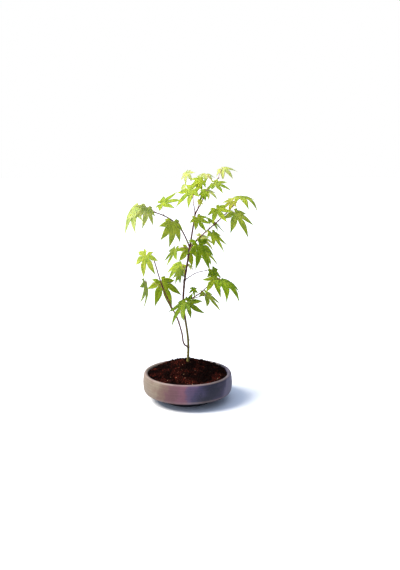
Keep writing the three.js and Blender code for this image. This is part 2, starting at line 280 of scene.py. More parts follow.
def stoneware():
    finish = Finish("stoneware", specular_ior_level=0.3)
    place = finish.place()
    height = finish.part(place, "Z")
    pale, soot, shade = paint(140, 122, 112), paint(30, 24, 26), paint(10, 8, 14)
    cloudy = finish.cloud(place, 22, 3)
    drift = finish.cloud(finish.scaled(place, (1, 1, 2.5)), 11, 1)
    fray = finish.cloud(place, 75, 3)
    flash_and_shade_place = finish.part(place, "X") + (drift - 0.5) * 0.06 + (fray - 0.5) * 0.03
    clay = paint(112, 98, 82)
    # Painted light and shade: these bands make the left of the wall paler and warmer and the right darker
    # and cooler.
    for start, end, tone in FLASH_AND_SHADE_BANDS:
        clay = finish.mix(finish.between(flash_and_shade_place, start, end), clay, tone)
    lines = finish.cloud(finish.scaled(place, (9, 9, 900)), 1, 2)
    share = 0.85 + finish.between(cloudy, 0.35, 0.75) * 0.2 + finish.between(lines, 0.35, 0.75) * 0.22
    clay = finish.node("ShaderNodeVectorMath", {"operation": "SCALE"}, {0: clay, "Scale": share})
    grit = finish.cloud(place, 1500, 1)
    clay = finish.mix(finish.between(grit, 0.66, 0.74) * 0.3, clay, pale)
    clay = finish.mix(finish.between(grit, 0.34, 0.27) * 0.6, clay, soot)
    rubbed = finish.between(height, POT_HEIGHT - 0.0026, POT_HEIGHT - 0.0007)
    above = finish.between(height, CORNER_HEIGHT + 0.0026, CORNER_HEIGHT + 0.0008)
    edge = above * finish.between(height, CORNER_HEIGHT - 0.0026, CORNER_HEIGHT - 0.001)
    wear = (rubbed + edge * 0.5) * finish.between(cloudy, 0.2, 0.62)
    clay = finish.mix(wear * 0.6, clay, pale)
    # Painted shade: the underside below the corner is darkened nearly to black.
    under = finish.between(height, CORNER_HEIGHT - 0.0012, CORNER_HEIGHT - 0.0032)
    finish.feed("Base Color", finish.mix(under * 0.9, clay, shade))
    finish.feed("Roughness", 0.46 + cloudy * 0.2 + finish.between(grit, 0.5, 0.7) * 0.1)
    finish.bump(lines * 0.5 + grit * 0.35 + finish.cloud(place, 420, 2) * 0.5, STONE_RELIEF)
    return finish.material


def piece_of(name, mesh, slot, nodes, *materials):
    """An object for a finished mesh that rides on the plant's body and stands for some CAD nodes."""
    for material in materials:
        mesh.materials.append(material)
    piece = bpy.data.objects.new(name, mesh)
    bpy.context.scene.collection.objects.link(piece)
    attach(piece, "root")
    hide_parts(*nodes)
    return piece


profile = []
for stretch in pot_profile():
    flat = [(radius, height, 0) for radius, height in stretch]
    smooth = smooth_path(flat, POT_STEP) if len(flat) > 1 else [Vector(flat[0])]
    profile += [(max(0, point.x), max(0, point.y)) for point in smooth]
pot_wall = turned("pot_wall", profile, POT_SEGMENTS, thrown)
piece_of("pot_wall", pot_wall, "stoneware", ["pot"], stoneware())


# ---- Soil --------------------------------------------------------------------------------------
# Dark crumbly potting soil: a bed heaped up round the stem, and loose crumbs of peat, bark and
# baked clay all over it, out to the wall of the pot.

SOIL_LEVEL = 0.0443
SOIL_RADIUS = INNER_RADIUS - 0.0001
SOIL_RINGS = 60
SOIL_SEGMENTS = 150
SOIL_RELIEF = 0.0003
BED_FOOT = FLOOR_HEIGHT + 0.0003
BED_CORNER = 0.004
CRUMB_INSET = 0.0006
CRUMB_DENSITY = 900000.0
CRUMB_STRETCH = ((0.7, 0.7, 0.55), (1.35, 1.2, 1.0))
CRUMB_TURN = ((0.0, 0.0, 0.0), (6.28, 6.28, 6.28))
CRUMB_RISE = (-0.3, 0.9)
Bump = namedtuple("Bump", "x y rise spread")
MOUND = Bump(-0.002, 0.032, 0.0132, 0.025)
HOLLOW = Bump(-0.054, 0.034, -0.0025, 0.016)
LUMPS = [(100, 0.0016), (260, 0.0007)]
# name, colours, gap between crumbs, smallest and largest radius, and the share of the places taken
CRUMBS = [
    ("soil_crumbs", paint(16, 4, 2), paint(58, 20, 13), 0.00125, 0.0005, 0.0013, 1),
    ("soil_red_crumbs", paint(86, 28, 18), paint(130, 54, 38), 0.0026, 0.0005, 0.0011, 0.8),
    ("soil_clods", paint(12, 4, 2), paint(58, 20, 14), 0.0046, 0.0012, 0.0024, 0.75),
    ("soil_chips", paint(150, 112, 84), paint(186, 156, 122), 0.0075, 0.0004, 0.0009, 0.6),
]


def soil_height(x, y):
    height = SOIL_LEVEL
    for bump in (MOUND, HOLLOW):
        squared = (x - bump.x) ** 2 + (y - bump.y) ** 2
        height += bump.rise * math.exp(-squared / (2 * bump.spread**2))
    for frequency, depth in LUMPS:
        height += depth * noise.noise((x * frequency, y * frequency, frequency))
    return height


def heaped(radius, height, angle):
    x, y = radius * math.cos(angle), radius * math.sin(angle)
    return x, y, soil_height(x, y) if height == SOIL_LEVEL else height


def soil_finish(name, dark, light):
    finish = Finish(name, specular_ior_level=0.04, roughness=1)
    place = finish.place()
    speck = finish.cloud(place, 900, 3)
    patch = finish.cloud(place, 38, 2)
    tone = finish.mix(finish.between(speck, 0.35, 0.7), dark, light)
    finish.feed("Base Color", finish.mix(finish.between(patch, 0.6, 0.44) * 0.9, tone, paint(5, 2, 1)))
    finish.bump(speck, SOIL_RELIEF)
    return finish.material


def crumb_tree():
    """Geometry Nodes that strew crumbs over the faces of the mesh they are given."""
    tree = bpy.data.node_groups.new("crumbs", "GeometryNodeTree")
    kinds = {"Bed": "Geometry", "Gap": "Float", "Smallest": "Float", "Largest": "Float",
             "Share": "Float", "Seed": "Int", "Material": "Material"}
    for name, kind in kinds.items():
        tree.interface.new_socket(name, in_out="INPUT", socket_type=f"NodeSocket{kind}")
    tree.interface.new_socket("Crumbs", in_out="OUTPUT", socket_type="NodeSocketGeometry")
    graph = Graph(tree)
    given = graph.node("NodeGroupInput", output="Bed")
    seed = given.out("Seed")
    points = graph.node("GeometryNodeDistributePointsOnFaces", {"distribute_method": "POISSON"},
                        {"Mesh": given, "Distance Min": given.out("Gap"), "Density Max": CRUMB_DENSITY,
                         "Density Factor": given.out("Share"), "Seed": seed}, "Points")

    def chance(low_high, kind, shift):
        output = {"FLOAT": 1, "FLOAT_VECTOR": 0}[kind]
        first = {"FLOAT": 2, "FLOAT_VECTOR": 0}[kind]
        sockets = {first: low_high[0], first + 1: low_high[1], "Seed": seed + float(shift)}
        return graph.node("FunctionNodeRandomValue", {"data_type": kind}, sockets, output)

    sockets = {"Radius": 1.0, "Subdivisions": 1}
    ball = graph.node("GeometryNodeMeshIcoSphere", sockets=sockets, output="Mesh")
    rough = graph.node("ShaderNodeTexNoise", sockets={"Scale": 1.7, "Detail": 0.0}, output="Color")
    sockets = {0: rough, 1: (0.5, 0.5, 0.5)}
    centred = graph.node("ShaderNodeVectorMath", {"operation": "SUBTRACT"}, sockets)
    ball = graph.node("GeometryNodeSetPosition", sockets={"Geometry": ball, "Offset": centred})
    small, large = given.out("Smallest"), given.out("Largest")
    draw = chance((0.0, 1.0), "FLOAT", 1)
    size = small + (large - small) * draw * draw
    stretch = chance(CRUMB_STRETCH, "FLOAT_VECTOR", 2)
    scale = graph.node("ShaderNodeVectorMath", {"operation": "SCALE"}, {0: stretch, "Scale": size})
    spin = chance(CRUMB_TURN, "FLOAT_VECTOR", 3)
    rise = graph.node("ShaderNodeCombineXYZ", sockets={"Z": size * chance(CRUMB_RISE, "FLOAT", 4)})
    points = graph.node("GeometryNodeSetPosition", sockets={"Geometry": points, "Offset": rise})
    strewn = graph.node("GeometryNodeInstanceOnPoints",
                        sockets={"Points": points, "Instance": ball, "Rotation": spin, "Scale": scale})
    real = graph.node("GeometryNodeRealizeInstances", sockets={"Geometry": strewn})
    painted = graph.node("GeometryNodeSetMaterial",
                         sockets={"Geometry": real, "Material": given.out("Material")})
    graph.end("NodeGroupOutput", painted)
    return tree


def strewn(name, bed, tree, values):
    """The plain mesh of what a tree of Geometry Nodes makes on a bed, with its inputs by name."""
    maker = bpy.data.objects.new(name, bed)
    bpy.context.scene.collection.objects.link(maker)
    modifier = maker.modifiers.new("nodes", "NODES")
    modifier.node_group = tree
    inputs = [item for item in tree.interface.items_tree if item.in_out == "INPUT"]
    for item in inputs:
        if item.name in values:
            modifier[item.identifier] = values[item.name]
    evaluated = maker.evaluated_get(bpy.context.evaluated_depsgraph_get())
    mesh = bpy.data.meshes.new_from_object(evaluated)
    bpy.data.objects.remove(maker)
    mesh.name = name
    return mesh


def soil_top():
    """The top of the bed alone, which the crumbs are strewn on."""
    bm = bmesh.new()
    rings = []
    for ring in range(1, SOIL_RINGS + 1):
        radius = (SOIL_RADIUS - CRUMB_INSET) * ring / SOIL_RINGS
        angles = [2 * math.pi * i / SOIL_SEGMENTS for i in range(SOIL_SEGMENTS)]
        rings.append([bm.verts.new(heaped(radius, SOIL_LEVEL, angle)) for angle in angles])
    middle = bm.verts.new(heaped(0, SOIL_LEVEL, 0))
    for i in range(SOIL_SEGMENTS):
        bm.faces.new([middle, rings[0][i], rings[0][(i + 1) % SOIL_SEGMENTS]])
        for inner, outer in zip(rings, rings[1:]):
            after = (i + 1) % SOIL_SEGMENTS
            bm.faces.new([inner[i], outer[i], outer[after], inner[after]])
    return mesh_of("soil_top", bm)


bed_profile = [(0, BED_FOOT), (SOIL_RADIUS - BED_CORNER, BED_FOOT), (SOIL_RADIUS, BED_FOOT + 0.005)]
bed_profile += [(SOIL_RADIUS * ring / SOIL_RINGS, SOIL_LEVEL) for ring in range(SOIL_RINGS, -1, -1)]
bed = turned("soil_bed", bed_profile, SOIL_SEGMENTS, heaped)
bed_soil = soil_finish("soil_bed", paint(12, 4, 2), paint(30, 12, 8))
piece_of("soil_bed", bed, "potting_soil", ["soil"], bed_soil)
top = soil_top()
tree = crumb_tree()
for number, (name, dark, light, gap, smallest, largest, share) in enumerate(CRUMBS):
    values = {"Gap": gap, "Smallest": smallest, "Largest": largest, "Share": float(share)}
    values |= {"Seed": number, "Material": soil_finish(name, dark, light)}
    piece_of(name, strewn(name, top, tree, values), "potting_soil", ["soil"])


# ---- Stem and boughs ---------------------------------------------------------------------------
# One thin stem and the boughs that fork from it, smooth young bark that is olive at the foot and
# red-brown higher up, with swollen joints where the leaves stand and small dead stubs low down.

GROUND = 0.0557
BURIED = 0.004
FLARE = 0.001
FLARE_LENGTH = 0.004
RING_STEP = 0.0008
BARK_SIDES = 16
JOINT_SPREAD = 0.0013
JOINT_SWELL = 0.22
COLLAR = 0.0006
COLLAR_LENGTH = 0.002
RIDGE_DEPTH = 0.07
PIMPLE_DEPTH = 0.05
BARK_RELIEF = 0.00012
TURN_SPREAD = 0.035
ROUTE_STEP = 0.002
Limb = namedtuple("Limb", "parent share thick thin route")
LIMBS = {
    "trunk": Limb(None, 0, 0.0021, 0.00155, [
        (0, 0.028, GROUND + 0.0003), (0.001, 0.027, 0.082), (0, 0.026, 0.102), (-0.007, 0.023, 0.157),
        (-0.006, 0.022, 0.188), (0.004, 0.018, 0.255)]),
    "leader": Limb("trunk", 1, 0.0015, 0.00125, [(0.009, 0.016, 0.286), (0.013, 0.014, 0.311)]),
    "left_bough": Limb("trunk", 1, 0.0013, 0.00085, [
        (-0.008, 0.008, 0.283), (-0.024, -0.004, 0.302), (-0.04, -0.014, 0.312), (-0.052, -0.022, 0.317)]),
    "right_bough": Limb("trunk", 1, 0.0013, 0.00085, [
        (0.027, 0.026, 0.277), (0.051, 0.034, 0.297), (0.07, 0.04, 0.315), (0.081, 0.044, 0.326)]),
    "top_twig": Limb("leader", 1, 0.00115, 0.00075, [
        (0.022, 0.018, 0.327), (0.034, 0.026, 0.348), (0.051, 0.038, 0.367)]),
    "top_left_twig": Limb("leader", 1, 0.0008, 0.00055, [(0.01, 0.018, 0.331), (0.008, 0.028, 0.353)]),
    "low_left_stem": Limb("trunk", 0.13, 0.0014, 0.00095, [
        (-0.006, 0.023, 0.088), (-0.01, 0.016, 0.111), (-0.018, 0.006, 0.14), (-0.029, -0.004, 0.165),
        (-0.041, -0.012, 0.197), (-0.052, -0.022, 0.238)]),
    "low_right_bough": Limb("trunk", 0.5, 0.0011, 0.0007, [
        (0.007, 0.016, 0.169), (0.021, 0.008, 0.18), (0.034, -0.002, 0.194), (0.052, -0.018, 0.21)]),
    "low_right_twig": Limb("low_right_bough", 0.22, 0.0007, 0.00055, [(0.029, 0.02, 0.174)]),
    "mid_right_twig": Limb("trunk", 0.72, 0.0008, 0.0006, [(0.014, 0.024, 0.211), (0.031, 0.032, 0.214)]),
}

# Leaves. share is the place on the limb, and stalk leads from there to the foot of the blade. Seen from
# the front, hang turns the middle lobe from straight down towards the right, lean brings its tip forward,
# and turn rolls the blade about that lobe, its upper face to the left. size is the middle lobe's length,
# droop its bend and fan the spread of the lobes. Angles are in degrees. The values were first fitted by a
# program and rounded, and some were then changed.
Leaf = namedtuple("Leaf", "limb share stalk hang lean turn size droop fan tint")


def grown(limb, share, stalk, hang, lean, turn, size, droop, fan, tint):
    """A leaf from its measures in millimetres and degrees."""
    return Leaf(limb, share, Vector(stalk) * 0.001, hang, lean, turn, size * 0.001, droop, fan, tint)


LEAVES = {
    "left_tip_outer": grown("left_bough", 1, (-24, 12, 10), -46, 15, 65, 61, 55, 0.7, "grey"),
    "left_tip_inner": grown("left_bough", 0.96, (-13, -18, 10), -5, 35, -35, 37, 20, 0.95, "pale"),
    "left_upright": grown("left_bough", 0.8, (-5, 14, 18), 105, 15, -65, 42, 0, 1.1, "green"),
    "left_hanging": grown("left_bough", 0.45, (-9, -21, 10), 3, 20, -35, 47, 35, 0.88, "lime"),
    "top_far_left": grown("top_left_twig", 1, (-8, 16, 23), -25, 30, 50, 25, 50, 1.25, "pale"),
    "top_left_small": grown("top_left_twig", 0.85, (-14, 12, 10), -20, 30, 60, 18, 35, 0.95, "pale"),
    "top_left": grown("top_left_twig", 0.35, (-2, -31, 25), -50, 5, 55, 41, 15, 1.2, "green"),
    "top_middle": grown("top_twig", 0.25, (3, -12, 39), -75, 30, 40, 27, 40, 1.1, "bright"),
    "top_rear": grown("top_twig", 0.8, (-11, 24, 16), -5, 75, 0, 27, 55, 0.9, "pale"),
    "top_tip": grown("top_twig", 1, (7, 22, 15), 75, 45, -55, 31, 60, 1.15, "pale"),
    "top_right": grown("top_twig", 0.9, (-2, -21, -2), 75, 10, -60, 33, 20, 1.15, "lime"),
    "top_inner": grown("top_twig", 0.45, (3, -18, 10), 75, 30, -70, 28, 50, 1.25, "pale"),
    "top_bud": grown("top_twig", 0.1, (4, -11, 18), 0, 10, 40, 14, 20, 0.8, "blush"),
    "right_tip": grown("right_bough", 1, (6, 18, 10), 90, 30, -85, 47, 65, 1.05, "lime"),
    "right_tip_inner": grown("right_bough", 0.93, (-1, -14, 10), -65, 15, 50, 27, 45, 1.1, "blush"),
    "right_upper": grown("right_bough", 0.6, (-4, -40, 24), 40, 40, -20, 34, 15, 1.1, "bright"),
    "right_outer": grown("right_bough", 0.85, (8, -28, -3), 40, 30, -50, 49, 30, 1.15, "lime"),
    "leader_front": grown("leader", 0.9, (4, -32, 3), 30, -10, 30, 31, 0, 1, "green"),
    "right_edge": grown("right_bough", 0.42, (1, 23, 12), 55, 5, -85, 41, 10, 1.15, "deep"),
    "right_lower": grown("right_bough", 0.25, (17, -35, 10), 35, 25, -65, 41, 0, 0.95, "bright"),
    "right_rear": grown("right_bough", 0.12, (7, 29, 4), 75, -15, -70, 40, 35, 1.05, "pale"),
    "fork_front": grown("trunk", 0.96, (16, -46, 18), 30, 0, -50, 49, 15, 1.15, "deep"),
    "fork_rear_right": grown("trunk", 0.98, (24, 22, -7), 60, 5, -80, 39, 35, 1.25, "bright"),
    "fork_rear": grown("trunk", 0.95, (-1, 29, 5), 10, -10, 10, 41, 20, 1.1, "green"),
    "fork_left": grown("trunk", 0.99, (-23, -28, 3), -25, 25, 65, 36, 0, 1.1, "green"),
    "low_left_tip": grown("low_left_stem", 1, (-12, -14, 12), -20, 5, 35, 42, 55, 1.2, "lime"),
    "low_left_hanging": grown("low_left_stem", 0.72, (-28, -17, 14), 12, 15, -85, 49, 25, 0.9, "grey"),
    "low_left_large": grown("low_left_stem", 0.74, (-3, 22, 3), 33, 25, -40, 53, 40, 1.1, "green"),
    "stem_rear": grown("trunk", 0.72, (-5, 37, 21), -60, 25, 55, 41, 50, 0.8, "green"),
    "stem_rear_low": grown("trunk", 0.66, (-5, 6, 28), -25, 0, 60, 32, 5, 0.9, "dark"),
    "low_front": grown("low_left_stem", 0.35, (13, -42, 37), -44, 15, 65, 44, 20, 1.1, "dark"),
    "low_right_small": grown("low_right_bough", 0.35, (-5, -16, 15), 10, 30, -40, 16, 25, 1.25, "deep"),
    "mid_right_upper": grown("mid_right_twig", 1, (10, 20, -2), 30, 5, -55, 36, 30, 0.9, "deep"),
    "mid_right_lower": grown("low_right_bough", 0.75, (5, -7, 9), 35, 45, -50, 38, 35, 1.25, "green"),
    "low_right_tip": grown("low_right_bough", 1, (2, -8, -1), 75, 35, -80, 54, 65, 0.8, "deep"),
    "low_right_under": grown("low_right_twig", 1, (2, 14, -1), 45, 25, -75, 44, 5, 1.2, "lime"),
    "top_core": grown("top_left_twig", 0.6, (11, -8, 29), -20, 15, 35, 26, 35, 0.85, "green"),
    "top_dark": grown("top_twig", 0.65, (-5, -49, 0), -40, 0, 30, 22, 35, 0.8, "deep"),
    "top_along": grown("top_twig", 0.7, (3, -4, 4), -50, 5, 75, 22, 10, 0.8, "deep"),
    "fork_pale": grown("trunk", 0.8, (4, 14, 7), 50, 5, -75, 16, 10, 1.2, "pale"),
    "fork_curl": grown("trunk", 0.97, (10, -32, 19), -115, -5, 65, 16, 30, 0.9, "deep"),
    "low_right_front": grown("low_left_stem", 0.3, (15, -29, 43), 55, 25, 15, 35, 5, 1.2, "dark"),
}
# Dead stubs on the stem: place on the trunk, and the way they point.
STUBS = [(0.045, (-1, -0.3, 0.7)), (0.075, (-0.8, 0.5, 0.5)), (0.19, (1, -0.2, 0.3))]


class Path:
    """A line through points, by its share of the length."""

    def __init__(self, points):
        self.points = points
        self.lengths = [0]
        for a, b in zip(points, points[1:]):
            self.lengths.append(self.lengths[-1] + (b - a).length)
        self.length = self.lengths[-1]

    def at(self, share):
        wanted = share * self.length
        for i, reached in enumerate(self.lengths[1:]):
            if reached >= wanted - 1e-9:
                part = (wanted - self.lengths[i]) / (reached - self.lengths[i])
                return self.points[i].lerp(self.points[i + 1], min(1, max(0, part)))
        return self.points[-1].copy()

    def evenly(self, step):
        count = max(2, round(self.length / step))
        return [self.at(i / count) for i in range(count + 1)]


def sweep(bm, points, radius_at, sides, values=None):
    """A closed bar along points. radius_at gives the radius at a share of the length and an angle."""
    ahead = [(b - a).normalized() for a, b in zip(points, points[1:])]
    ahead.append(ahead[-1])
    side = ahead[0].orthogonal().normalized()
    rings = []
    for i, (point, direction) in enumerate(zip(points, ahead)):
        side = (side - direction * side.dot(direction)).normalized()
        up = direction.cross(side)
        share = i / (len(points) - 1)
        ring = []
        for k in range(sides):
            angle = 2 * math.pi * k / sides
            out = side * math.cos(angle) + up * math.sin(angle)
            vertex = bm.verts.new(point + out * radius_at(share, angle))
            if values:
                vertex[values[0]] = values[1](share)
            ring.append(vertex)
        rings.append(ring)
    for ring, after in zip(rings, rings[1:]):
        for k in range(sides):
            bm.faces.new([ring[k], ring[(k + 1) % sides], after[(k + 1) % sides], after[k]])
    bm.faces.new(list(reversed(rings[0])))
    bm.faces.new(rings[-1])


def limb_joints(name):
    """Shares of a limb's length where leaves or other limbs stand on it."""
    shares = [leaf.share for leaf in LEAVES.values() if leaf.limb == name]
    return shares + [limb.share for limb in LIMBS.values() if limb.parent == name]


def add_limb(bm, scar, name):
    limb, path = LIMBS[name], paths[name]
    joints = limb_joints(name)
    seed = 10 * len(name)

    def scarred(share):
        return sum(math.exp(-(((share - joint) * path.length / JOINT_SPREAD) ** 2)) for joint in joints)

    def radius_at(share, angle):
        from_foot = share * path.length
        radius = limb.thick + (limb.thin - limb.thick) * share
        ridges = noise.noise((2 * math.cos(angle), 2 * math.sin(angle), from_foot * 60 + seed))
        pimples = noise.noise((4 * math.cos(angle) + seed, 4 * math.sin(angle), from_foot * 900))
        swell = JOINT_SWELL * min(1, scarred(share))
        radius *= 1 + RIDGE_DEPTH * ridges + PIMPLE_DEPTH * pimples + swell
        if limb.parent:
            return radius + COLLAR * math.exp(-from_foot / COLLAR_LENGTH)
        lobed = 1 + 0.35 * math.cos(3 * angle + 1)
        return radius + FLARE * lobed * math.exp(-from_foot / FLARE_LENGTH)

    marks = scar, lambda share: min(1, scarred(share))
    sweep(bm, path.evenly(RING_STEP), radius_at, BARK_SIDES, marks)


def bark(name, low_tone, high_tone, turn_height):
    """Bark that changes tone with height, darker at its joints, with pale pores and fine streaks."""
    finish = Finish(name, roughness=0.6, specular_ior_level=0.2)
    place = finish.place()
    streak_tone, pore_tone, scar_tone = paint(48, 32, 24), paint(140, 108, 84), paint(44, 22, 20)
    streaks = finish.cloud(finish.scaled(place, (900, 900, 90)), 1, 3)
    patches = finish.cloud(place, 70, 2)
    height = finish.part(place, "Z") + (patches - 0.5) * 0.08
    rise = finish.between(height, turn_height - TURN_SPREAD, turn_height + TURN_SPREAD)
    tone = finish.mix(rise, low_tone, high_tone)
    tone = finish.mix(finish.between(streaks, 0.4, 0.75) * 0.45, tone, streak_tone)
    pores = finish.between(finish.cloud(finish.scaled(place, (700, 700, 1500)), 1, 0), 0.68, 0.76)
    tone = finish.mix(pores * 0.3, tone, pore_tone)
    scar = finish.node("ShaderNodeAttribute", {"attribute_name": "scar"}, output="Fac")
    finish.feed("Base Color", finish.mix(finish.between(scar, 0.25, 0.9) * 0.75, tone, scar_tone))
    finish.bump(streaks + pores * 0.5, BARK_RELIEF)
    return finish.material


paths = {}
for name, limb in LIMBS.items():
    route = [Vector(point) for point in limb.route]
    if limb.parent:
        route.insert(0, paths[limb.parent].at(limb.share))
    paths[name] = Path(smooth_path(route, ROUTE_STEP))
# The foot of the stem goes down into the heap of soil.
stem_foot = paths["trunk"].points[0]
paths["trunk"].points[0] = stem_foot - Vector((0, 0, BURIED))

old_bark = bark("stem_bark", paint(104, 96, 44), paint(74, 36, 20), 0.125)
young_bark = bark("bough_bark", paint(100, 54, 40), paint(88, 44, 28), 0.2)
boughs = [name for name in LIMBS if name != "trunk"]
for piece_name, slot, limbs, finish in (("stem", "old_bark", ["trunk"], old_bark),
                                        ("boughs", "young_bark", boughs, young_bark)):
    bm = bmesh.new()
    scar = bm.verts.layers.float.new("scar")
    for name in limbs:
        add_limb(bm, scar, name)
    piece_of(piece_name, mesh_of(piece_name, bm), slot, limbs, finish)


# ---- Leaf stalks and buds ----------------------------------------------------------------------
# Each leaf hangs on a thin pinkish-brown stalk, thickened where it clasps the twig. Pointed dark red
# buds sit in the angles of the stalks and at the ends of the twigs, and dead stubs low on the stem.

STALK_ARCH = 0.16
STALK_RADIUS = 0.0004
STALK_CLASP = 0.0006
CLASP_LENGTH = 0.0008
STALK_STEPS = 16
STALK_SIDES = 8
BUD_LENGTH = 0.0026
BUD_RADIUS = 0.0007
BUD_POINT = 0.00004
BUD_STEPS = 7
BUD_SIDES = 8
BUD_OFFSET = 0.0006
SIDE_BUD = 0.8
STUB = 1.5
SKIN_RELIEF = 0.00005


def stalk_path(leaf):
    start = paths[leaf.limb].at(leaf.share)
    foot = start + Vector(leaf.stalk)
    middle = start.lerp(foot, 0.5) + Vector((0, 0, STALK_ARCH * (foot - start).length))
    steps = [i / STALK_STEPS for i in range(STALK_STEPS + 1)]
    return Path([start.lerp(middle, t).lerp(middle.lerp(foot, t), t) for t in steps])


def add_stalk(bm, stalk):
    def radius_at(share, angle):
        return STALK_RADIUS + STALK_CLASP * math.exp(-share * stalk.length / CLASP_LENGTH)

    sweep(bm, stalk.points, radius_at, STALK_SIDES)


def add_bud(bm, foot, direction, size=1.0):
    length, thick = BUD_LENGTH * size, BUD_RADIUS * size
    points = [foot + direction * length * i / BUD_STEPS for i in range(BUD_STEPS + 1)]

    def radius_at(share, angle):
        return max(BUD_POINT, thick * math.sin(math.pi * (0.18 + 0.82 * share)) ** 0.8)

    sweep(bm, points, radius_at, BUD_SIDES)


def plain_finish(name, tone, dark, roughness):
    """A smooth young skin, mottled from one tone to a darker one."""
    finish = Finish(name, roughness=roughness, specular_ior_level=0.4)
    place = finish.place()
    mottle = finish.cloud(place, 160, 2)
    finish.feed("Base Color", finish.mix(finish.between(mottle, 0.35, 0.7), tone, dark))
    finish.bump(finish.cloud(place, 1800, 2), SKIN_RELIEF)
    return finish.material


stalks = {name: stalk_path(leaf) for name, leaf in LEAVES.items()}
bm = bmesh.new()
for stalk in stalks.values():
    add_stalk(bm, stalk)
stalk_skin = plain_finish("stalk_skin", paint(176, 130, 108), paint(146, 96, 74), 0.45)
piece_of("leaf_stalks", mesh_of("leaf_stalks", bm), "young_bark", [], stalk_skin)

bm = bmesh.new()
for name, leaf in LEAVES.items():
    limb = paths[leaf.limb]
    onward = (limb.at(min(1, leaf.share + 0.02)) - limb.at(leaf.share - 0.02)).normalized()
    outward = (stalks[name].at(0.2) - stalks[name].at(0)).normalized()
    direction = (onward + outward * 0.7).normalized()
    add_bud(bm, limb.at(leaf.share) + direction * BUD_OFFSET, direction, SIDE_BUD)
for name in LIMBS:
    limb = paths[name]
    if 1 in limb_joints(name):
        add_bud(bm, limb.at(1), (limb.at(1) - limb.at(0.95)).normalized())
for share, way in STUBS:
    add_bud(bm, paths["trunk"].at(share), Vector(way).normalized(), STUB)
bud_scales = plain_finish("bud_scales", paint(104, 44, 36), paint(60, 26, 24), 0.4)
piece_of("buds", mesh_of("buds", bm), "young_bark", [], bud_scales)


# ---- Leaves ------------------------------------------------------------------------------------
# Thin soft blades with seven pointed lobes, cut toothed along the margin and folded a little along each
# midrib. Young ones are pale or yellowish and older ones deep green, and the tints also hold painted light
# and shade: some leaves in shade have paler tints and some in full light deeper ones.

LOBE_LENGTHS = [1, 0.88, 0.6, 0.33]
LOBE_SPREAD = 38
LOBE_HALF_WIDTH = 0.128
SINUS = 0.31
WIDEST = 0.2
TAPER = 1.7
TOOTH_PITCH = 0.0021
TOOTH_DEPTH = 0.13
FOLD = 0.2
BLADE_THICKNESS = 0.0003
FUSED_ROWS = 4
COLUMNS = [0, 0.35, 0.7, 1]
RIPPLE = 0.0004
LEAF_RELIEF = 0.0002
VEIN_PITCH = 0.17
RIB_RADIUS = 0.00028
RIB_REACH = 0.93
RIB_STEPS = 12
RIB_SIDES = 6
USUAL_SIZE = 0.045
WELD = 0.000004
UV_SCALE = 100
# The tints hold painted light and shade as well as the leaves' own colours.
# tint: upper face, under face, slot
TINTS = {
    "pale": (paint(150, 160, 84), paint(162, 171, 94), "leaf_pale"),
    "lime": (paint(130, 145, 43), paint(144, 157, 66), "leaf_pale"),
    "bright": (paint(134, 151, 30), paint(144, 158, 56), "leaf_green"),
    "green": (paint(119, 137, 23), paint(132, 148, 50), "leaf_green"),
    "deep": (paint(103, 127, 7), paint(116, 136, 36), "leaf_deep"),
    "dark": (paint(84, 105, 3), paint(100, 120, 28), "leaf_deep"),
    "grey": (paint(138, 152, 76), paint(144, 158, 88), "leaf_green"),
    "blush": (paint(162, 167, 62), paint(168, 171, 80), "leaf_pale"),
}


class Lobe:
    """One lobe of a leaf: its angle, length and width, with the small chances of growth."""

    def __init__(self, leaf, number, chance):
        last = len(LOBE_LENGTHS) - 1
        self.leaf = leaf
        self.number = number
        self.share = LOBE_LENGTHS[abs(number)]
        self.length = leaf.size * self.share
        self.half_width = LOBE_HALF_WIDTH * leaf.size * (0.4 + 0.6 * self.share)
        self.growth = chance.uniform(0.94, 1.06)
        self.curve = math.radians(chance.uniform(-7, 7))
        self.extra_droop = chance.uniform(-8, 14) if abs(number) < last else 0


def blade_point(leaf, angle, length, along, aside, extra_droop=0.0):
    """A point of the blade in its own frame, by its place along and beside a line from the foot."""
    bend = math.radians(leaf.droop + 1 + extra_droop) * length / leaf.size
    reach = length / bend * math.sin(bend * along)
    sunk = length / bend * (1 - math.cos(bend * along))
    x = math.sin(angle) * reach + math.cos(angle) * aside
    y = math.cos(angle) * reach - math.sin(angle) * aside
    return Vector((x, y, -sunk))


def lobe_angle(leaf, number):
    return math.radians(number * LOBE_SPREAD * leaf.fan)


def ray(leaf, number):
    """The angle and length of the line from the foot to the notch between two lobes."""
    last = len(LOBE_LENGTHS) - 1
    length = leaf.size * LOBE_LENGTHS[min(math.ceil(abs(number)), last)]
    return lobe_angle(leaf, number), length * (0.8 if abs(number) > last else 1)


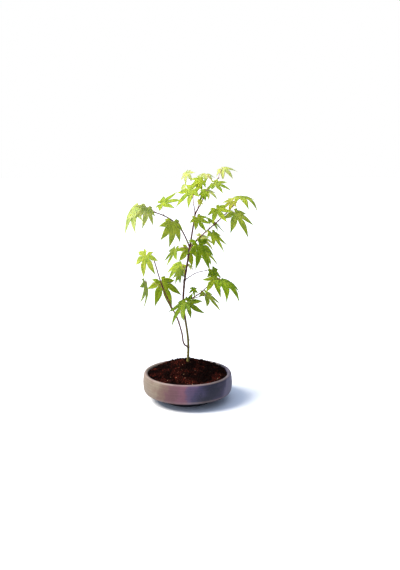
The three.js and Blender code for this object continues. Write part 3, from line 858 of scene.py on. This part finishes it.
def lobe_rows(lobe, side, chance):
    """Rows across half a lobe from foot to tip: midrib point, edge point, fold, place along, width."""
    leaf = lobe.leaf
    angle = lobe_angle(leaf, lobe.number)
    notch_angle, notch_length = ray(leaf, lobe.number + side * 0.5)
    half = abs(notch_angle - angle)
    notch = notch_length * SINUS
    notch_along = notch * math.cos(half) / lobe.length
    start = SINUS * leaf.size * 0.8 * math.cos(math.radians(LOBE_SPREAD / 2)) / lobe.length
    start = min(start, 0.6)
    width_at_notch = notch * math.sin(half)
    rows = []
    for row in range(FUSED_ROWS + 1):
        part = row / FUSED_ROWS
        middle = on_lobe(lobe, angle, part * start, 0)
        edge = blade_point(leaf, notch_angle, notch_length, SINUS * part, aside=0)
        rows.append((middle, edge, FOLD * 0.1 * leaf.size * part, part * start, part * width_at_notch))
    teeth = max(4, round(lobe.length * (1 - start) / TOOTH_PITCH))
    for tooth in range(teeth):
        for peak in (False, True):
            if tooth == 0 and not peak:
                continue
            x = (tooth + (0.55 if peak else 0)) / teeth
            if x < WIDEST:
                part = x / WIDEST
                blend = part * part * (3 - 2 * part)
                width = width_at_notch + (lobe.half_width - width_at_notch) * blend
            else:
                width = lobe.half_width * math.cos(math.pi / 2 * (x - WIDEST) / (1 - WIDEST)) ** TAPER
            width *= 1 + TOOTH_DEPTH * (chance.uniform(0.5, 1.4) if peak else -0.5)
            along = start + (1 - start) * x
            first = notch_along + (1 - notch_along) * x
            shifted = first + ((0.35 / teeth) if peak else 0) * (1 - x)
            middle = on_lobe(lobe, angle, along, 0)
            edge = on_lobe(lobe, angle, shifted, side * width)
            rows.append((middle, edge, FOLD * width, along, width))
    tip = on_lobe(lobe, angle, 1, 0)
    rows.append((tip, tip, 0, 1, 0))
    return rows


def on_lobe(lobe, angle, along, aside):
    """A point of a lobe, which bends to one side and hangs as chance has it."""
    stretch = 1 + (lobe.growth - 1) * along
    sway = lobe.curve * along**2
    droop = lobe.extra_droop * along
    return blade_point(lobe.leaf, angle + sway, lobe.length, along * stretch, aside, droop)


def blade_frame(leaf, foot):
    hang, lean = math.radians(leaf.hang), math.radians(leaf.lean)
    along = Vector((math.sin(hang) * math.cos(lean), -math.sin(lean), -math.cos(hang) * math.cos(lean)))
    towards = Vector((0, -1, 0))
    face = (towards - along * towards.dot(along)).normalized()
    face.rotate(Matrix.Rotation(math.radians(leaf.turn), 3, along))
    aside = along.cross(face)
    turn = Matrix((aside, along, face)).transposed().to_4x4()
    return Matrix.Translation(foot) @ turn


def add_blade(bm, uv, leaf, frame_of_blade, lobes, chance):
    lift = frame_of_blade.to_3x3() @ Vector((0, 0, 1))
    for lobe in lobes:
        for side in (-1, 1):
            grid = []
            for middle, edge, fold, along, width in lobe_rows(lobe, side, chance):
                line = []
                for across in COLUMNS:
                    point = frame_of_blade @ middle.lerp(edge, across)
                    ripple = RIPPLE * noise.noise(point * 260) * across
                    point += lift * (fold * math.sin(math.pi * 0.72 * across) + ripple)
                    mark = (side * width * across * UV_SCALE, along * lobe.length * UV_SCALE)
                    line.append((bm.verts.new(point), mark))
                grid.append(line)
            for row, after in zip(grid, grid[1:]):
                for k in range(len(COLUMNS) - 1):
                    corners = [row[k], row[k + 1], after[k + 1], after[k]]
                    if side < 0:
                        corners.reverse()
                    face = bm.faces.new([vertex for vertex, mark in corners])
                    for loop, (vertex, mark) in zip(face.loops, corners):
                        loop[uv].uv = mark


def shaded(tone, red, green, blue):
    return tone[0] * red, tone[1] * green, tone[2] * blue, 1


def leaf_finish(name, tone):
    """A leaf's skin: mottled, with paler side veins, and some light that scatters inside it."""
    finish = Finish(name, specular_ior_level=0.12, subsurface_weight=0.9,
                    subsurface_radius=(1.0, 1.0, 0.3), subsurface_scale=0.001)
    place = finish.place()
    marks = finish.node("ShaderNodeUVMap", {"uv_map": "lobes"})
    split = finish.part(marks, "X")
    beside = split.math("ABSOLUTE", split, 0.0)
    veins = split.math("PINGPONG", split.out("Y") - beside * 0.9, VEIN_PITCH)
    veins = finish.between(veins, 0.03, 0.0) * finish.between(beside, 0.75, 0.3)
    mottle = finish.cloud(place, 80, 3)
    fair, dim = shaded(tone, 1.27, 1.13, 1.3), shaded(tone, 0.84, 0.87, 0.8)
    colour = finish.mix(finish.between(mottle, 0.36, 0.66), fair, dim)
    colour = finish.mix(veins * 0.14, colour, paint(200, 214, 120))
    finish.feed("Base Color", colour)
    finish.feed("Roughness", 0.42 + mottle * 0.2)
    finish.bump(veins * -0.6 + finish.cloud(place, 1500, 2) * 0.3, LEAF_RELIEF)
    return finish.material


chance = random.Random(7)
blades = {tint: bmesh.new() for tint in TINTS}
layers = {tint: bm.loops.layers.uv.new("lobes") for tint, bm in blades.items()}
ribs = bmesh.new()
for name, leaf in LEAVES.items():
    last = len(LOBE_LENGTHS) - 1
    lobes = [Lobe(leaf, number, chance) for number in range(-last, last + 1)]
    own_frame = blade_frame(leaf, stalks[name].points[-1])
    add_blade(blades[leaf.tint], layers[leaf.tint], leaf, own_frame, lobes, chance)
    for lobe in lobes:
        angle = lobe_angle(leaf, lobe.number)
        reaches = [RIB_REACH * i / RIB_STEPS for i in range(RIB_STEPS + 1)]
        line = [own_frame @ on_lobe(lobe, angle, reach, 0) for reach in reaches]
        thick = RIB_RADIUS * (0.5 + 0.5 * lobe.share) * (leaf.size / USUAL_SIZE) ** 0.5
        sweep(ribs, line, lambda share, angle: thick * (1 - 0.75 * share), RIB_SIDES)
for tint, (upper, under, slot) in TINTS.items():
    bmesh.ops.remove_doubles(blades[tint], verts=blades[tint].verts, dist=WELD)
    nodes = [f"foliage_{name}" for name, leaf in LEAVES.items() if leaf.tint == tint]
    mesh = mesh_of(f"leaves_{tint}", blades[tint])
    skins = leaf_finish(f"leaf_{tint}", upper), leaf_finish(f"leaf_{tint}_under", under)
    piece = piece_of(f"leaves_{tint}", mesh, slot, nodes, *skins)
    solid = piece.modifiers.new("thickness", "SOLIDIFY")
    solid.thickness = BLADE_THICKNESS
    solid.offset = 0
    solid.material_offset = 1
rib_skin = plain_finish("rib_skin", paint(150, 164, 60), paint(136, 148, 48), 0.5)
piece_of("leaf_ribs", mesh_of("leaf_ribs", ribs), "leaf_pale", [], rib_skin)


# ---- Floor, light and camera -------------------------------------------------------------------
# A white table under soft daylight that comes from the left, half way up the sky.

SUN_STRENGTH = 5.5
SUN_HEIGHT = 50
SUN_FORWARD = 12
SUN_WIDTH = 28
SUN_COLOUR = (1, 0.94, 0.84)
SKY_BRIGHT = (1.02, 1.22, 1.6, 1)
SKY_DIM = (0.02, 0.035, 0.13, 1)
SKY_SIDE = Vector((-0.6, -0.25, 0.76)).normalized()
SKY_RAMP = (-0.4, 0.9)
WHITE = (1, 1, 1, 1)
TABLE_SIZE = 16
CAMERA_PLACE = (0.02087, -1.14869, 0.42023)
CAMERA_TILT = 78.922
CAMERA_LENS = 45
SENSOR_WIDTH = 36

bpy.ops.mesh.primitive_plane_add(size=TABLE_SIZE)
table = bpy.context.object
table.name = "table"
table_finish = Finish("table", base_color=(0.8, 0.8, 0.8, 1), roughness=0.7)
table.data.materials.append(table_finish.material)

sun = bpy.data.objects.new("sun", bpy.data.lights.new("sun", "SUN"))
sun.data.energy = SUN_STRENGTH
sun.data.angle = math.radians(SUN_WIDTH)
sun.data.color = SUN_COLOUR
sun.rotation_euler = (0, -math.radians(90 - SUN_HEIGHT), math.radians(SUN_FORWARD))
bpy.context.scene.collection.objects.link(sun)

world = bpy.data.worlds.new("sky")
world.use_nodes = True
bpy.context.scene.world = world
sky = Graph(world.node_tree)
world.node_tree.nodes.clear()
direction = sky.node("ShaderNodeTexCoord", output="Generated")
sockets = {0: direction, 1: SKY_SIDE}
facing = sky.node("ShaderNodeVectorMath", {"operation": "DOT_PRODUCT"}, sockets, "Value")
sockets = {"Value": facing, "From Min": SKY_RAMP[0], "From Max": SKY_RAMP[1]}
bright = sky.node("ShaderNodeMapRange", sockets=sockets)
tone = sky.node("ShaderNodeMix", {"data_type": "RGBA"}, {0: bright, 6: SKY_DIM, 7: SKY_BRIGHT}, 2)
light = sky.node("ShaderNodeBackground", sockets={"Color": tone, "Strength": 1.0})
wall = sky.node("ShaderNodeBackground", sockets={"Color": WHITE, "Strength": 1.0})
seen = sky.node("ShaderNodeLightPath", output="Is Camera Ray")
sky.end("ShaderNodeOutputWorld", sky.node("ShaderNodeMixShader", sockets={0: seen, 1: light, 2: wall}))

camera = bpy.data.objects.new("camera", bpy.data.cameras.new("camera"))
camera.data.lens = CAMERA_LENS
camera.data.sensor_width = SENSOR_WIDTH
camera.location = CAMERA_PLACE
camera.rotation_euler = (math.radians(CAMERA_TILT), 0, 0)
bpy.context.scene.collection.objects.link(camera)
bpy.context.scene.camera = camera
bpy.context.scene.view_settings.view_transform = "Standard"
